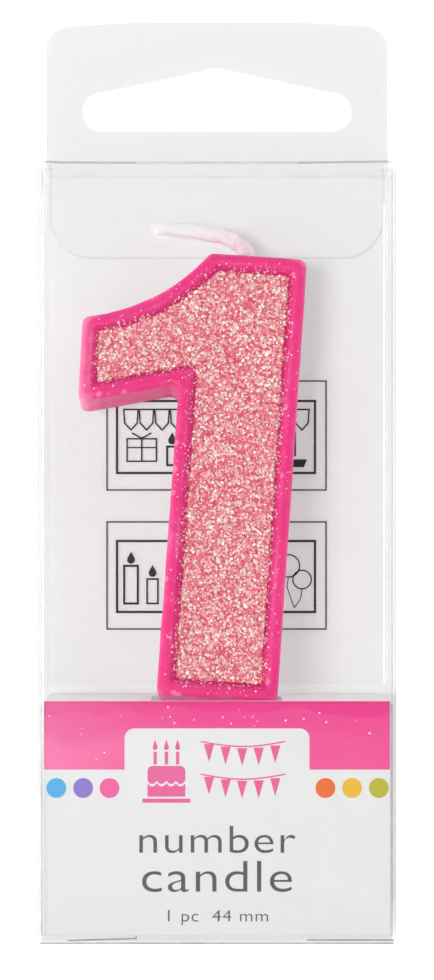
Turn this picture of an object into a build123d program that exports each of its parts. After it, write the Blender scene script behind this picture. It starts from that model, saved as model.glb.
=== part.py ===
from build123d import *
import os

# A small number candle in its shop packaging: a clear box folded from one sheet of film
# with a hang tab, a printed card that stands inside it, and the candle on its cake pick.
# Millimetres. +Z is up, -Y is the front, and the origin is the centre of the box's foot.

# ---- Driving dimensions: the box -------------------------------------------------------
BOX_WIDTH = 35.0
BOX_DEPTH = 18.0
BOX_HEIGHT = 76.5
SHEET = 0.3                # thickness of the clear film
GLUE_FILM = 0.05           # glue between the inner back panel and the hanger panel
GAP = 0.1                  # free space between neighbouring sheets
HINGE_GAP = 0.05           # free space along a fold line
FOLD_RADIUS = 0.5          # outside radius of the sleeve's upright folds
LID_SIDE_GAP = 0.2         # the lids are narrower than the box by this much on each side

TUCK_HALF_WIDTH = 16.4
TUCK_CORNER = 4.0
TUCK_SIDE_MIN = 1.0        # straight side left above a tuck flap's rounded corner
TOP_TUCK_DROP = 9.6        # how far the top tuck flap reaches below the top of the box
BOTTOM_TUCK_DROP = 4.6

DUST_REACH = 5.4           # how far a dust flap reaches inwards
DUST_BACK_RELIEF = 0.7     # along the fold, from the lid's hinge to the flap's back end
DUST_TIP_LENGTH = 2.6
DUST_FRONT_END = 13.4      # along the fold, from the lid's hinge to the flap's front end
DUST_FRONT_REACH = 1.2     # reach left at the front end
DUST_TIP_CORNER = 1.0

TAB_RISE = 15.75           # height of the hang tab above the box, at its middle
TAB_SHOULDER_DROP = 0.7    # the tab's crowned top edge falls this much to its corners
TAB_CORNER = 2.5

# ---- Driving dimensions: the hang hole in the tab --------------------------------------
HOLE_FOOT = 4.45           # from the top of the box up to the hole's flat lower edge
HOLE_HEIGHT = 6.55
HOLE_HALF_WIDTH = 13.8
HOLE_FLAT_HALF = 12.0      # half length of the flat lower edge
HOLE_END_HEIGHT = 2.0      # from the flat edge up to the widest place
HOLE_SHOULDER = (11.8, 4.05)
HOLE_PEAK_HALF = 1.6       # half width of the rounded peak
HOLE_PEAK_RISE = 0.35

# ---- Driving dimensions: the card ------------------------------------------------------
CARD = 0.4
CARD_HALF_WIDTH = 16.95
CARD_FRONT = -7.95
CARD_BACK = 8.0
CARD_FOOT = 0.8
CARD_TOP = 23.65
CARD_FOLD_RADIUS = 0.35
WINDOW_LEFT, WINDOW_RIGHT = -6.5, 6.4
WINDOW_FRONT, WINDOW_BACK = -6.35, 1.75
WINDOW_CORNER = 0.8

# ---- Driving dimensions: the candle, across (u) and up (v) in its own plane ------------
CANDLE_HEIGHT = 44.75
CANDLE_THICKNESS = 7.2
STEM_LEFT, STEM_RIGHT = -6.0, 5.95
PEAK_U = -3.8              # left end of the top edge, where the hollow curve starts
CURVE_MID = (-8.5, 40.3)
FLAG_TOP = (-16.1, 37.4)
FLAG_FOOT = (-15.95, 28.65)
FLAG_ROOT_V = 31.2         # where the flag's underside meets the stem
OUTLINE_CORNER = 0.8       # rounding of the outline's corners
RECESS_CORNER = 0.4        # rounding of the recess's corners
FRONT_ROUND = 0.55
BACK_ROUND = 0.35
RIM_WIDTH = 1.05           # flat and rounded part of the raised rim
RIM_SLOPE = 0.65           # width of the rim's sloping inner side
RECESS_DEPTH = 0.8
GLITTER_INSET = 0.05       # gap between the glitter's edge and the foot of the slope
GLITTER_THICKNESS = 0.3

CANDLE_FOOT = (0.0, -5.9, 23.85)   # foot of the front face, in the box
LEAN = 9.0                 # degrees, top towards the back panel
ROLL = 4.0                 # degrees, top towards the right

WICK_RADIUS = 0.875
WICK_BORE_RADIUS = 0.9
WICK_ROOT_V = 35.0         # lower end of the wick, inside the wax
WICK_BEND_REACH = 5.3      # how far left the bend carries the wick
WICK_BEND_RISE = 2.75      # how far the bend rises above the wax
WICK_TIP_REACH = 10.1

PICK_WIDTH = 2.6
PICK_THICKNESS = 1.6
PICK_EMBEDDED = 9.0
PICK_LENGTH = 22.6         # below the foot of the candle
PICK_POINT = 6.0           # length of the tapered end
PICK_TIP_HALF = 0.4
PICK_FIT = 0.05
PICK_NOTCH = 0.35          # depth of the gripping notches in the wax
PICK_NOTCH_PITCH = 2.2
PICK_NOTCH_COUNT = 3

# ---- Derived places --------------------------------------------------------------------
HALF_WIDTH = BOX_WIDTH / 2
FRONT = -BOX_DEPTH / 2
HANGER_INNER = BOX_DEPTH / 2 - SHEET
SLEEVE_BACK = HANGER_INNER - GLUE_FILM
SLEEVE_DEPTH = SLEEVE_BACK - FRONT
LID_UNDERSIDE = BOX_HEIGHT - SHEET
LID_FRONT = FRONT + SHEET + GAP
LID_HALF_WIDTH = HALF_WIDTH - LID_SIDE_GAP
DUST_TOP = LID_UNDERSIDE - GAP
DUST_UNDERSIDE = DUST_TOP - SHEET
WALL_TOP = DUST_UNDERSIDE - HINGE_GAP


def block(low, high):
    """A box given by its lowest and highest corners."""
    size = [b - a for a, b in zip(low, high)]
    middle = [(a + b) / 2 for a, b in zip(low, high)]
    return Pos(*middle) * Box(*size)


def turned_over(solid):
    """The same solid for the other end of the box."""
    return mirror(solid, about=Plane.XY.offset(BOX_HEIGHT / 2))


def other_side(solid):
    """The same solid for the other side of the box."""
    return mirror(solid, about=Plane.YZ)


# ---- The clear box ---------------------------------------------------------------------
def make_box_sleeve():
    """Four panels round the box; front and back stand up to meet the lids."""
    outer = RectangleRounded(BOX_WIDTH, SLEEVE_DEPTH, FOLD_RADIUS)
    inner = RectangleRounded(BOX_WIDTH - 2 * SHEET, SLEEVE_DEPTH - 2 * SHEET, FOLD_RADIUS - SHEET)
    wall_foot = BOX_HEIGHT - WALL_TOP
    centre_y = (FRONT + SLEEVE_BACK) / 2
    tube = Pos(0, centre_y, wall_foot) * extrude(outer - inner, amount=WALL_TOP - wall_foot)
    panel_half = HALF_WIDTH - FOLD_RADIUS
    front_foot = GAP
    back_foot = SHEET + HINGE_GAP
    front_panel = block((-panel_half, FRONT, front_foot),
                        (panel_half, FRONT + SHEET, BOX_HEIGHT - front_foot))
    back_panel = block((-panel_half, SLEEVE_BACK - SHEET, back_foot),
                       (panel_half, SLEEVE_BACK, BOX_HEIGHT - back_foot))
    return tube + front_panel + back_panel


def hang_hole_outline():
    """Wide, low hole with rounded ends and a peaked top, measured from its flat lower edge."""
    shoulder_x, shoulder_z = HOLE_SHOULDER
    peak_foot = HOLE_HEIGHT - HOLE_PEAK_RISE
    right = [
        Line((0, 0), (HOLE_FLAT_HALF, 0)),
        ThreePointArc((HOLE_FLAT_HALF, 0), (HOLE_HALF_WIDTH, HOLE_END_HEIGHT), HOLE_SHOULDER),
        Line(HOLE_SHOULDER, (HOLE_PEAK_HALF, peak_foot)),
    ]
    peak = ThreePointArc((HOLE_PEAK_HALF, peak_foot), (0, HOLE_HEIGHT), (-HOLE_PEAK_HALF, peak_foot))
    left = [
        Line((-HOLE_PEAK_HALF, peak_foot), (-shoulder_x, shoulder_z)),
        ThreePointArc((-shoulder_x, shoulder_z), (-HOLE_HALF_WIDTH, HOLE_END_HEIGHT),
                      (-HOLE_FLAT_HALF, 0)),
        Line((-HOLE_FLAT_HALF, 0), (0, 0)),
    ]
    return make_face(right + [peak] + left)


def make_hanger_panel():
    """Outer back panel that carries on upwards as the hang tab."""
    top = BOX_HEIGHT + TAB_RISE
    shoulder = top - TAB_SHOULDER_DROP
    outline = make_face([
        Line((-HALF_WIDTH, 0), (HALF_WIDTH, 0)),
        Line((HALF_WIDTH, 0), (HALF_WIDTH, shoulder)),
        ThreePointArc((HALF_WIDTH, shoulder), (0, top), (-HALF_WIDTH, shoulder)),
        Line((-HALF_WIDTH, shoulder), (-HALF_WIDTH, 0)),
    ])
    tab_corners = outline.vertices().filter_by(lambda v: v.Y > BOX_HEIGHT)
    outline = fillet(tab_corners, TAB_CORNER)
    hole = Pos(0, BOX_HEIGHT + HOLE_FOOT) * hang_hole_outline()
    sheet = extrude(outline - hole, amount=SHEET)
    return Pos(0, HANGER_INNER + SHEET, 0) * Rot(90, 0, 0) * sheet


def make_glue_seam():
    """Upright strip of glue near the hanger panel's free edge."""
    strip_width = 5.0
    edge_margin = 1.0
    end_margin = 5.0
    left = -HALF_WIDTH + edge_margin
    return block((left, SLEEVE_BACK, end_margin),
                 (left + strip_width, HANGER_INNER, BOX_HEIGHT - end_margin))


def make_lid():
    """Top closure panel, hinged along its back edge; the front corners are eased."""
    corner = 0.8
    lid = block((-LID_HALF_WIDTH, LID_FRONT, LID_UNDERSIDE),
                (LID_HALF_WIDTH, SLEEVE_BACK, BOX_HEIGHT))
    front_corners = lid.edges().filter_by(Axis.Z).group_by(Axis.Y)[0]
    return fillet(front_corners, corner)


def make_tuck_flap(drop):
    """Flap below the lid's front edge that tucks in behind the front panel."""
    corner = min(TUCK_CORNER, drop - TUCK_SIDE_MIN)
    flap = block((-TUCK_HALF_WIDTH, LID_FRONT, BOX_HEIGHT - drop),
                 (TUCK_HALF_WIDTH, LID_FRONT + SHEET, LID_UNDERSIDE - HINGE_GAP))
    low_corners = flap.edges().filter_by(Axis.Y).group_by(Axis.Z)[0]
    return fillet(low_corners, corner)


def make_dust_flap_left():
    """Side flap under the top lid; its slanted back end lets it open along with the lid."""
    fold_x = -HALF_WIDTH + SHEET
    tip_back = DUST_BACK_RELIEF + DUST_REACH
    points = [
        (0, DUST_BACK_RELIEF),
        (DUST_REACH, tip_back),
        (DUST_REACH, tip_back + DUST_TIP_LENGTH),
        (DUST_FRONT_REACH, DUST_FRONT_END),
        (0, DUST_FRONT_END),
    ]
    corners = [(fold_x + reach, SLEEVE_BACK - along) for reach, along in points]
    outline = make_face(Polyline(corners + [corners[0]]))
    tip_corners = outline.vertices().sort_by(Axis.X)[-2:]
    outline = fillet(tip_corners, DUST_TIP_CORNER)
    return Pos(0, 0, DUST_UNDERSIDE) * extrude(outline, amount=SHEET, dir=(0, 0, 1))


# ---- The printed card ------------------------------------------------------------------
def make_card_insert():
    """Front leg, shelf and rear leg in one folded card, with a window for the candle's foot."""
    outer = block((-CARD_HALF_WIDTH, CARD_FRONT, CARD_FOOT), (CARD_HALF_WIDTH, CARD_BACK, CARD_TOP))
    folds = outer.edges().filter_by(Axis.X).group_by(Axis.Z)[-1]
    outer = fillet(folds, CARD_FOLD_RADIUS)
    hollow = block((-BOX_WIDTH, CARD_FRONT + CARD, 0), (BOX_WIDTH, CARD_BACK - CARD, CARD_TOP - CARD))
    window = block((WINDOW_LEFT, WINDOW_FRONT, CARD_TOP - 2 * CARD),
                   (WINDOW_RIGHT, WINDOW_BACK, CARD_TOP + CARD))
    window = fillet(window.edges().filter_by(Axis.Z), WINDOW_CORNER)
    return outer - hollow - window


# ---- The candle, built in its own plane: x across, y up, z out of the front face -------
CANDLE_SEAT = Pos(*CANDLE_FOOT) * Rot(-LEAN, 0, 0) * Location(Plane.XZ) * Rot(0, 0, -ROLL)


def sharp_outline():
    """The shape of the figure 1: an upright stem and a flag with a hollow upper edge."""
    return make_face([
        Line((STEM_LEFT, 0), (STEM_RIGHT, 0)),
        Line((STEM_RIGHT, 0), (STEM_RIGHT, CANDLE_HEIGHT)),
        Line((STEM_RIGHT, CANDLE_HEIGHT), (PEAK_U, CANDLE_HEIGHT)),
        ThreePointArc((PEAK_U, CANDLE_HEIGHT), CURVE_MID, FLAG_TOP),
        Line(FLAG_TOP, FLAG_FOOT),
        Line(FLAG_FOOT, (STEM_LEFT, FLAG_ROOT_V)),
        Line((STEM_LEFT, FLAG_ROOT_V), (STEM_LEFT, 0)),
    ])


def candle_outline():
    """The figure with its corners rounded."""
    outline = sharp_outline()
    return fillet(outline.vertices(), OUTLINE_CORNER)


def inset_outline(distance):
    """The figure's outline moved inwards all round, with tighter corners."""
    inset = offset(sharp_outline(), amount=-distance, kind=Kind.INTERSECTION)
    return fillet(inset.vertices(), RECESS_CORNER)


def make_candle_body():
    """Wax figure with a raised rim round a recess, a wick bore and a slot for the pick."""
    body = extrude(candle_outline(), amount=-CANDLE_THICKNESS)
    front_edges = body.faces().sort_by(Axis.Z)[-1].edges()
    body = fillet(front_edges, FRONT_ROUND)
    back_edges = body.faces().sort_by(Axis.Z)[0].edges()
    body = fillet(back_edges, BACK_ROUND)
    rim_mouth = inset_outline(RIM_WIDTH).face()
    recess_floor = Pos(0, 0, -RECESS_DEPTH) * inset_outline(RIM_WIDTH + RIM_SLOPE).face()
    recess = loft([rim_mouth, recess_floor], ruled=True)
    bore_length = CANDLE_HEIGHT - WICK_ROOT_V + GAP
    bore = Cylinder(WICK_BORE_RADIUS, 2 * bore_length, rotation=(90, 0, 0))
    bore = Pos(0, CANDLE_HEIGHT, -CANDLE_THICKNESS / 2) * bore
    slot_height = PICK_EMBEDDED + GAP
    slot = Box(PICK_WIDTH + 2 * PICK_FIT, 2 * slot_height, PICK_THICKNESS + 2 * PICK_FIT)
    slot = Pos(0, 0, -CANDLE_THICKNESS / 2) * slot
    return CANDLE_SEAT * (body - recess - bore - slot)


def make_glitter_coat():
    """Thin bed of glitter on the floor of the recess."""
    sheet = extrude(inset_outline(RIM_WIDTH + RIM_SLOPE + GLITTER_INSET), amount=GLITTER_THICKNESS)
    return CANDLE_SEAT * Pos(0, 0, -RECESS_DEPTH) * sheet


def make_wick():
    """Waxed cord that stands in the wax, leaves its top and bends over to the left."""
    root = (0, WICK_ROOT_V)
    mouth = (0, CANDLE_HEIGHT)
    bend_top = (-WICK_BEND_REACH, CANDLE_HEIGHT + WICK_BEND_RISE)
    tip = (-WICK_TIP_REACH, CANDLE_HEIGHT + WICK_BEND_RISE)
    bend_centre = (-WICK_BEND_REACH, CANDLE_HEIGHT)
    bend = EllipticalCenterArc(bend_centre, WICK_BEND_REACH, WICK_BEND_RISE, arc_size=90)
    path = Line(root, mouth) + bend + Line(bend_top, tip)
    cord = sweep(Plane(origin=(0, WICK_ROOT_V, 0), z_dir=(0, 1, 0)) * Circle(WICK_RADIUS), path=path)
    return CANDLE_SEAT * Pos(0, 0, -CANDLE_THICKNESS / 2) * cord


def make_cake_pick():
    """Flat plastic spike under the candle, notched where the wax grips it."""
    half = PICK_WIDTH / 2
    blade = make_face(Polyline([
        (-half, PICK_EMBEDDED),
        (half, PICK_EMBEDDED),
        (half, PICK_POINT - PICK_LENGTH),
        (PICK_TIP_HALF, -PICK_LENGTH),
        (-PICK_TIP_HALF, -PICK_LENGTH),
        (-half, PICK_POINT - PICK_LENGTH),
        (-half, PICK_EMBEDDED),
    ]))
    blade = extrude(blade, amount=PICK_THICKNESS / 2, both=True)
    for number in range(PICK_NOTCH_COUNT):
        height = PICK_EMBEDDED - PICK_NOTCH_PITCH * (number + 1)
        for side in (-half, half):
            notch = Cylinder(PICK_NOTCH, 2 * PICK_THICKNESS)
            blade -= Pos(side, height, 0) * notch
    return CANDLE_SEAT * Pos(0, 0, -CANDLE_THICKNESS / 2) * blade


def write_part(node, solid):
    """One STEP file per sub-part, named after its node."""
    solid.label = node
    export_step(solid, f"parts/{node}.step")


def main():
    os.makedirs("parts", exist_ok=True)
    top_dust_left = make_dust_flap_left()
    top_dust_right = other_side(top_dust_left)
    write_part("box_sleeve", make_box_sleeve())
    write_part("hanger_panel", make_hanger_panel())
    write_part("glue_seam", make_glue_seam())
    write_part("top_lid", make_lid())
    write_part("top_tuck_flap", make_tuck_flap(TOP_TUCK_DROP))
    write_part("top_dust_flap_left", top_dust_left)
    write_part("top_dust_flap_right", top_dust_right)
    write_part("bottom_lid", turned_over(make_lid()))
    write_part("bottom_tuck_flap", turned_over(make_tuck_flap(BOTTOM_TUCK_DROP)))
    write_part("bottom_dust_flap_left", turned_over(top_dust_left))
    write_part("bottom_dust_flap_right", turned_over(top_dust_right))
    write_part("card_insert", make_card_insert())
    write_part("candle_body", make_candle_body())
    write_part("glitter_coat", make_glitter_coat())
    write_part("wick", make_wick())
    write_part("cake_pick", make_cake_pick())


main()
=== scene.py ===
import math
import random

import bpy
import bmesh
from mathutils import Matrix, Vector, noise
from mathutils.bvhtree import BVHTree


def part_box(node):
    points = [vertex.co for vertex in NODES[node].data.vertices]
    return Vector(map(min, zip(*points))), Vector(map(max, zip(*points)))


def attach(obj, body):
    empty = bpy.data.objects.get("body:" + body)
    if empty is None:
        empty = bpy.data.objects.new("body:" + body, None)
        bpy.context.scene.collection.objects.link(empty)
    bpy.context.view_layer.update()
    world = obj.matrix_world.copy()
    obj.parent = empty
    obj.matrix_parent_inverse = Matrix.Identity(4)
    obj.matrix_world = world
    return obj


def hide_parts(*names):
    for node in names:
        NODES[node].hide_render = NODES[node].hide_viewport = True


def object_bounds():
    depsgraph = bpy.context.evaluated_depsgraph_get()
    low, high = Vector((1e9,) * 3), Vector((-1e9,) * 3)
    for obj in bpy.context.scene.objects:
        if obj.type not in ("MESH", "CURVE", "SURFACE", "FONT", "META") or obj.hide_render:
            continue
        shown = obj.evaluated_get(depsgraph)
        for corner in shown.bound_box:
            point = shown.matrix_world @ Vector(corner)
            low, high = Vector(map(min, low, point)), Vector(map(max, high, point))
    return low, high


# A pink number candle with a glittered face, in a clear hang-tab box with a printed card.
# Everything is in metres in the part's own frame: +Z up, -Y the front. MM turns mm into metres.

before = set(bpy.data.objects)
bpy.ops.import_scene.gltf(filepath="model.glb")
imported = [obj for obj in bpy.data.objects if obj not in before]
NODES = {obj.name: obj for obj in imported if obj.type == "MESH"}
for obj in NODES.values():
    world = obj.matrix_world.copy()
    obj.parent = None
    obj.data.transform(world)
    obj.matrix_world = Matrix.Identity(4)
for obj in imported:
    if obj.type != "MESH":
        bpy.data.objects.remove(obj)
CAD_LOW, CAD_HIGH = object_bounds()

MM = 0.001
BOX_LOW, BOX_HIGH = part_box("box_sleeve")
PANEL_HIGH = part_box("hanger_panel")[1]
CARD_LOW, CARD_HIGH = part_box("card_insert")
LID_LOW, LID_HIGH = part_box("top_lid")

# The candle's own plane: x across, y up the figure, z out of its front face.
FOOT = Vector((0.0, -5.9, 23.85)) * MM
LEAN = 9.0                     # degrees, top towards the back panel
ROLL = 4.0                     # degrees, top towards the right
FIGURE_THICKNESS = 7.2
RECESS_DEPTH = 0.8
SEAT = (Matrix.Translation(FOOT)
        @ Matrix.Rotation(math.radians(90.0 - LEAN), 4, "X")
        @ Matrix.Rotation(math.radians(-ROLL), 4, "Z"))

# The wick's centre line in that plane, in mm, from the wax to its tip.
WICK_LINE = [(0.0, 43.4), (0.0, 44.75), (-0.25, 45.7), (-0.9, 46.45), (-1.8, 46.95), (-2.9, 47.25),
             (-4.0, 47.4), (-5.3, 47.5), (-7.6, 47.55), (-10.0, 47.55)]

CAMERA_PLACE = Vector((0.0, -0.384, 0.04436))
FOCAL_LENGTH = 141.13          # in mm, on a sensor 36 mm wide
WALL_GAP = 0.35 * MM           # from the back of the box to the backdrop
WALL_Y = CAD_HIGH.y + WALL_GAP
GLOW_BEHIND = 0.39             # the backdrop's painted glow behind the box, dimmed as painted shade,
GLOW_BY_TAB = 0.265             # behind the hang tab
GLOW_AROUND = 0.85             # and all round: painted light, bright enough that no shadow shows
FLOOR_Z = -0.030               # low enough for the bottom lid to swing open above it


# ---- Node helpers ------------------------------------------------------------------------
def blank_material(name):
    """A material with an empty node tree."""
    material = bpy.data.materials.new(name)
    material.use_nodes = True
    material.node_tree.nodes.clear()
    return material, material.node_tree


def add_node(tree, kind, inputs=None, **settings):
    """A node with its settings and input values; an input given as a socket is linked."""
    made = tree.nodes.new(kind)
    for key, value in settings.items():
        setattr(made, key, value)
    for key, value in (inputs or {}).items():
        if isinstance(value, bpy.types.NodeSocket):
            tree.links.new(value, made.inputs[key])
        else:
            made.inputs[key].default_value = value
    return made


def mix_shaders(tree, share, a, b):
    """Shader node a, going to b as share goes to 1."""
    return add_node(tree, "ShaderNodeMixShader", {0: share, 1: a.outputs[0], 2: b.outputs[0]})


def with_surface(material, shader):
    """The material, with the shader node as its surface."""
    tree = material.node_tree
    add_node(tree, "ShaderNodeOutputMaterial", {"Surface": shader.outputs[0]})
    return material


def maths(tree, operation, a, b=0.0, c=0.0):
    """One arithmetic step; returns its output socket."""
    return add_node(tree, "ShaderNodeMath", {0: a, 1: b, 2: c}, operation=operation).outputs[0]


def clamped(tree, value):
    """The value, held between 0 and 1."""
    return add_node(tree, "ShaderNodeClamp", {"Value": value}).outputs[0]


def place(tree):
    """The point's place in the part's frame at rest, in metres."""
    return add_node(tree, "ShaderNodeTexCoord").outputs["Object"]


def axis_of(tree, vector, axis):
    """One of a vector's axes."""
    return add_node(tree, "ShaderNodeSeparateXYZ", {"Vector": vector}).outputs[axis]


def noise_of(tree, scale, detail=2.0, roughness=0.5, where=None):
    """Soft noise between 0 and 1."""
    where = where or place(tree)
    made = add_node(tree, "ShaderNodeTexNoise",
                    {"Vector": where, "Scale": scale, "Detail": detail, "Roughness": roughness})
    return made.outputs["Fac"]


def ramp_of(tree, value, stops, step=False):
    """A colour for each value; stops are (place, (r, g, b))."""
    made = add_node(tree, "ShaderNodeValToRGB", {"Fac": value})
    ramp = made.color_ramp
    ramp.interpolation = "CONSTANT" if step else "LINEAR"
    while len(ramp.elements) < len(stops):
        ramp.elements.new(1.0)
    for element, (at, colour) in zip(ramp.elements, stops):
        element.position = at
        element.color = (*colour, 1.0)
    return made.outputs["Color"]


def mixed(tree, share, a, b):
    """Colour a, going to b as share goes to 1."""
    made = add_node(tree, "ShaderNodeMix", data_type="RGBA")
    for index, value in ((0, share), (6, a), (7, b)):
        if isinstance(value, bpy.types.NodeSocket):
            tree.links.new(value, made.inputs[index])
        else:
            made.inputs[index].default_value = value if index == 0 else (*value, 1.0)
    return made.outputs[2]


def calm_bounce(tree, colour):
    """The colour itself for the eye, a greyer one for the light it throws on its surroundings."""
    bounced = add_node(tree, "ShaderNodeLightPath").outputs["Is Diffuse Ray"]
    return mixed(tree, maths(tree, "MULTIPLY", bounced, 0.6), colour, (0.62, 0.60, 0.605))


def bump_of(tree, height, strength, distance):
    """A normal tilted by the slope of height; distance in metres."""
    made = add_node(tree, "ShaderNodeBump",
                    {"Height": height, "Strength": strength, "Distance": distance})
    return made.outputs["Normal"]


# ---- Materials ---------------------------------------------------------------------------
def film_material(name, clear_at_top, clear_below, shine=0.03, grain=0.0, tone=(1.0, 1.0, 1.0),
                  glancing=0.75, flattest=0.45):
    """Clear plastic sheet: light goes straight through, a little less the flatter it strikes.

    It casts no shadow. clear_at_top holds above the box's top, clear_below under it.
    """
    material, tree = blank_material(name)
    facing = add_node(tree, "ShaderNodeLayerWeight", {"Blend": 0.5}).outputs["Facing"]
    above = axis_of(tree, place(tree), "Z")
    above = clamped(tree, maths(tree, "MULTIPLY_ADD", above, 2000.0, -2000.0 * BOX_HIGH.z + 0.5))
    clearness = maths(tree, "MULTIPLY_ADD", above, clear_at_top - clear_below, clear_below)
    haze = noise_of(tree, 90.0, 4.0, 0.6)
    clearness = maths(tree, "MULTIPLY_ADD", haze, grain, clearness)
    cosine = maths(tree, "MAXIMUM", maths(tree, "SUBTRACT", 1.0, facing), flattest)
    clearness = maths(tree, "POWER", clearness, maths(tree, "DIVIDE", 1.0, cosine))
    colour = add_node(tree, "ShaderNodeCombineColor",
                      {i: maths(tree, "MULTIPLY", clearness, share) for i, share in enumerate(tone)})
    clear = add_node(tree, "ShaderNodeBsdfTransparent", {"Color": colour.outputs[0]})
    ripple = bump_of(tree, noise_of(tree, 70.0, 2.0), 0.10, 0.0003)
    scuffs = maths(tree, "MULTIPLY_ADD", noise_of(tree, 900.0, 3.0), 0.03, 0.0)
    gloss = add_node(tree, "ShaderNodeBsdfGlossy",
                     {"Color": (1, 1, 1, 1), "Roughness": scuffs, "Normal": ripple})
    edgewise = maths(tree, "POWER", facing, 5.0)
    amount = maths(tree, "MULTIPLY_ADD", edgewise, glancing, shine)
    both = mix_shaders(tree, amount, clear, gloss)
    unshaded = add_node(tree, "ShaderNodeLightPath").outputs["Is Shadow Ray"]
    open_air = add_node(tree, "ShaderNodeBsdfTransparent")
    sheet = mix_shaders(tree, unshaded, both, open_air)
    return with_surface(material, sheet)


def film_edge_material(name, clearness, tone=(1.0, 1.0, 1.0), streaky=0.14):
    """Cut or creased edge of the sheet, greyer than its faces, in uneven streaks: painted shade."""
    material, tree = blank_material(name)
    streaks = maths(tree, "MULTIPLY_ADD", noise_of(tree, 260.0, 3.0), streaky, clearness - streaky / 2)
    colour = add_node(tree, "ShaderNodeCombineColor",
                      {i: maths(tree, "MULTIPLY", streaks, share) for i, share in enumerate(tone)})
    clear = add_node(tree, "ShaderNodeBsdfTransparent", {"Color": colour.outputs[0]})
    gloss = add_node(tree, "ShaderNodeBsdfGlossy", {"Color": (1, 1, 1, 1), "Roughness": 0.12})
    both = mix_shaders(tree, 0.05, clear, gloss)
    return with_surface(material, both)


def wax_material():
    """Deep pink candle wax, slightly see-through, with painted highlights on its ridges and painted light
    at the flag's left end.
    """
    material, tree = blank_material("pink_wax")
    # Convex edges are lifted towards pale pink: a painted highlight.
    ridge_highlight = add_node(tree, "ShaderNodeNewGeometry").outputs["Pointiness"]
    ridge_highlight = clamped(tree, maths(tree, "MULTIPLY_ADD", ridge_highlight, 9.0, -4.0))
    streaks = noise_of(tree, 420.0, 4.0, 0.62)
    clouds = noise_of(tree, 150.0, 2.0)
    shade = maths(tree, "MULTIPLY_ADD", ridge_highlight, 0.90, maths(tree, "MULTIPLY_ADD", streaks, 0.55, -0.22))
    across = axis_of(tree, place(tree), "X")
    # The flag's left end is lifted as well: painted light from the lamp on the left.
    flag_end_light = clamped(tree, maths(tree, "MULTIPLY_ADD", across, -420.0, -4.75))
    shade = maths(tree, "MULTIPLY_ADD", flag_end_light, 0.36, shade)
    shade = clamped(tree, maths(tree, "MULTIPLY_ADD", clouds, 0.30, maths(tree, "SUBTRACT", shade, 0.15)))
    colour = ramp_of(tree, shade, [(0.0, (0.78, 0.016, 0.160)), (0.35, (0.86, 0.028, 0.225)),
                                   (0.70, (0.95, 0.062, 0.290)), (1.0, (1.00, 0.260, 0.460))])
    pits = bump_of(tree, noise_of(tree, 1500.0, 4.0, 0.6), 0.35, 0.00006)
    waves = add_node(tree, "ShaderNodeBump",
                     {"Height": clouds, "Strength": 0.4, "Distance": 0.0003, "Normal": pits})
    worn = maths(tree, "MULTIPLY_ADD", noise_of(tree, 600.0, 3.0), 0.22, 0.26)
    wax = add_node(tree, "ShaderNodeBsdfPrincipled",
                   {"Base Color": calm_bounce(tree, colour), "Roughness": worn, "IOR": 1.44,
                    "Subsurface Weight": 0.35, "Subsurface Radius": (1.6, 0.35, 0.6),
                    "Subsurface Scale": 0.0009, "Coat Weight": 0.04, "Coat Roughness": 0.2,
                    "Specular IOR Level": 0.22,
                    "Normal": waves.outputs["Normal"]})
    return with_surface(material, wax)


def glitter_bed_material():
    """Coral varnish full of fine glitter, under the loose flakes."""
    material, tree = blank_material("glitter_varnish")
    cells = add_node(tree, "ShaderNodeTexVoronoi", {"Vector": place(tree), "Scale": 5200.0})
    pick = axis_of(tree, cells.outputs["Color"], "X")
    colour = ramp_of(tree, pick, [(0.0, (0.82, 0.085, 0.170)), (0.30, (0.92, 0.140, 0.220)),
                                  (0.55, (0.95, 0.260, 0.320)), (0.80, (1.0, 0.480, 0.480)),
                                  (0.93, (1.0, 0.82, 0.72))], step=True)
    rough = bump_of(tree, cells.outputs["Distance"], 0.8, 0.0001)
    varnish = add_node(tree, "ShaderNodeBsdfPrincipled",
                       {"Base Color": calm_bounce(tree, colour), "Roughness": 0.32, "Normal": rough,
                        "Subsurface Weight": 0.15, "Subsurface Radius": (1.0, 0.4, 0.4),
                        "Subsurface Scale": 0.0004})
    return with_surface(material, varnish)


def flake_material(name, stops):
    """Glossy plastic flakes, each one flat colour of its own, with a faint glow that is painted sparkle.
    """
    material, tree = blank_material(name)
    chance = add_node(tree, "ShaderNodeNewGeometry").outputs["Random Per Island"]
    colour = ramp_of(tree, chance, stops, step=True)
    again = maths(tree, "FRACT", maths(tree, "MULTIPLY", chance, 37.0))
    metal = maths(tree, "MULTIPLY", again, 0.10)
    # The emission is painted light: a faint glow standing in for sparkle.
    flake = add_node(tree, "ShaderNodeBsdfPrincipled",
                     {"Base Color": calm_bounce(tree, colour), "Metallic": metal, "Roughness": 0.28,
                      "Specular IOR Level": 0.45, "Emission Color": colour, "Emission Strength": 0.07})
    return with_surface(material, flake)


def cord_material():
    """Waxed cotton cord, stained pink near the candle and bare at its tip, with a faint painted glow."""
    material, tree = blank_material("waxed_cord")
    across = axis_of(tree, place(tree), "X")
    stain = clamped(tree, maths(tree, "MULTIPLY_ADD", across, 130.0, 0.80))
    blotches = noise_of(tree, 900.0, 3.0, 0.6)
    uneven = maths(tree, "MULTIPLY_ADD", blotches, 2.4, -0.4)
    stain = clamped(tree, maths(tree, "MULTIPLY", stain, uneven))
    colour = ramp_of(tree, stain, [(0.0, (1.0, 0.985, 0.97)), (0.45, (1.0, 0.95, 0.955)),
                                   (1.0, (1.0, 0.76, 0.84))])
    fibres = bump_of(tree, noise_of(tree, 5200.0, 3.0), 0.5, 0.00006)
    # The faint emission is painted light that lifts the cord's shading.
    cord = add_node(tree, "ShaderNodeBsdfPrincipled",
                    {"Base Color": colour, "Roughness": 0.42, "Normal": fibres,
                     "Subsurface Weight": 0.7, "Subsurface Radius": (1.0, 0.85, 0.85),
                     "Subsurface Scale": 0.0008, "Emission Color": colour, "Emission Strength": 0.02})
    return with_surface(material, cord)


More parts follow.
